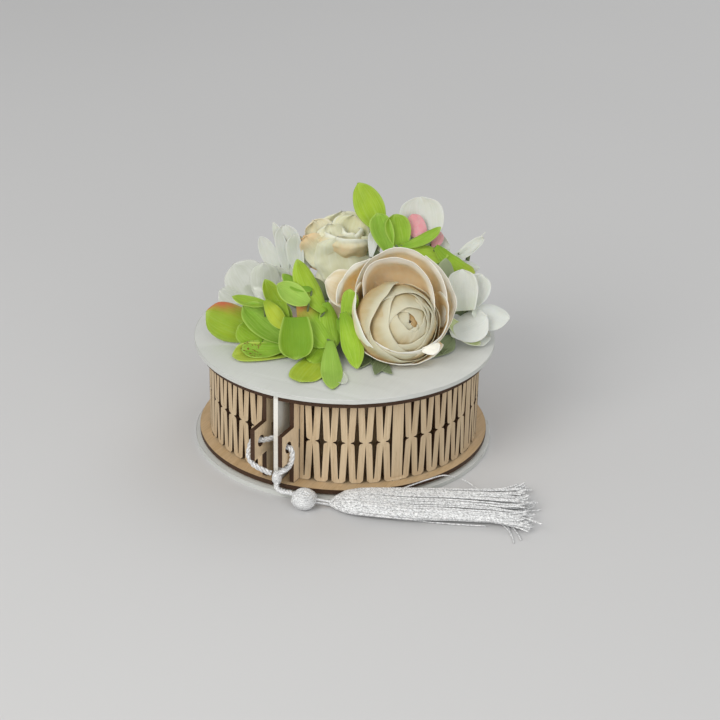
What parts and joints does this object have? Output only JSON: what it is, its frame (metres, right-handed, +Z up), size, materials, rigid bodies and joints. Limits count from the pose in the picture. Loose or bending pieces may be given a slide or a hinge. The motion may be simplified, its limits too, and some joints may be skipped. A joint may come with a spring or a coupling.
{
  "type": "round wooden box",
  "caption": "Round plywood box whose two half-round lattice trays swing out of a white frame, with a flower arrangement on the lid and a tassel tie.",
  "frame": {"origin": "centre of the underside of the base disc", "axes": "+Z up; -Y towards the closure at the front; the left tray at -X and the right tray at +X"},
  "size_m": [0.2518, 0.2034, 0.1499],
  "materials": {
    "white_board": "white matt paint on plywood",
    "plywood": "laser-cut birch plywood, natural, with scorched edges",
    "dowel": "plain beech",
    "cord": "silvery white twisted cord and silky thread",
    "cream_petal": "cream fabric petals with a peach blush",
    "ivory_petal": "ivory crumpled fabric petals",
    "white_petal": "white fabric petals",
    "clear_petal": "sheer stiffened petals",
    "green_petal": "lime green fabric petals with red tips",
    "leaf": "grey-green fabric leaves"
  },
  "bodies": {
    "frame": {"base_disc": "white_board", "top_disc": "white_board", "divider": "white_board", "pivot_dowel_left": "dowel", "pivot_dowel_right": "dowel", "pivot_washer_left": "dowel", "pivot_washer_right": "dowel", "peony_petals": "cream_petal", "peony_heart": "cream_petal", "rose_petals": "ivory_petal", "rose_heart": "ivory_petal", "white_bloom_left": "white_petal", "clear_bloom": "clear_petal", "green_bloom_left": "green_petal", "green_bloom_middle": "green_petal", "green_bloom_right": "green_petal", "green_sprig_top": "green_petal", "green_sprig_right": "green_petal", "white_orchid": "white_petal", "white_bloom_right": "white_petal", "leaf_spray_right": "leaf", "leaf_spray_left": "leaf", "feather_petals": "white_petal", "leaf_spray_middle": "leaf", "leaf_spray_rear": "leaf", "ribbon_petal": "white_petal"},
    "left_tray": {"left_floor": "plywood", "left_flat_wall": "plywood", "left_lattice_wall": "plywood", "left_rim": "plywood"},
    "right_tray": {"right_floor": "plywood", "right_flat_wall": "plywood", "right_lattice_wall": "plywood", "right_rim": "plywood", "tie_cord": "cord", "tie_knot": "cord", "hanger_cord": "cord", "bead_knot": "cord", "tassel_neck": "cord", "tassel_head": "cord", "tassel_fringe": "cord"}
  },
  "joints": [
    {"name": "left_tray_swing", "type": "hinge", "parent": "frame", "child": "left_tray", "pos_m": [-0.0075, 0.084, 0], "axis": [0, 0, 1], "range_deg": [-90, 0], "deforming": ["tie_cord"]},
    {"name": "right_tray_swing", "type": "hinge", "parent": "frame", "child": "right_tray", "pos_m": [0.0075, 0.084, 0], "axis": [0, 0, 1], "range_deg": [0, 90], "deforming": ["tie_cord"]}
  ]
}
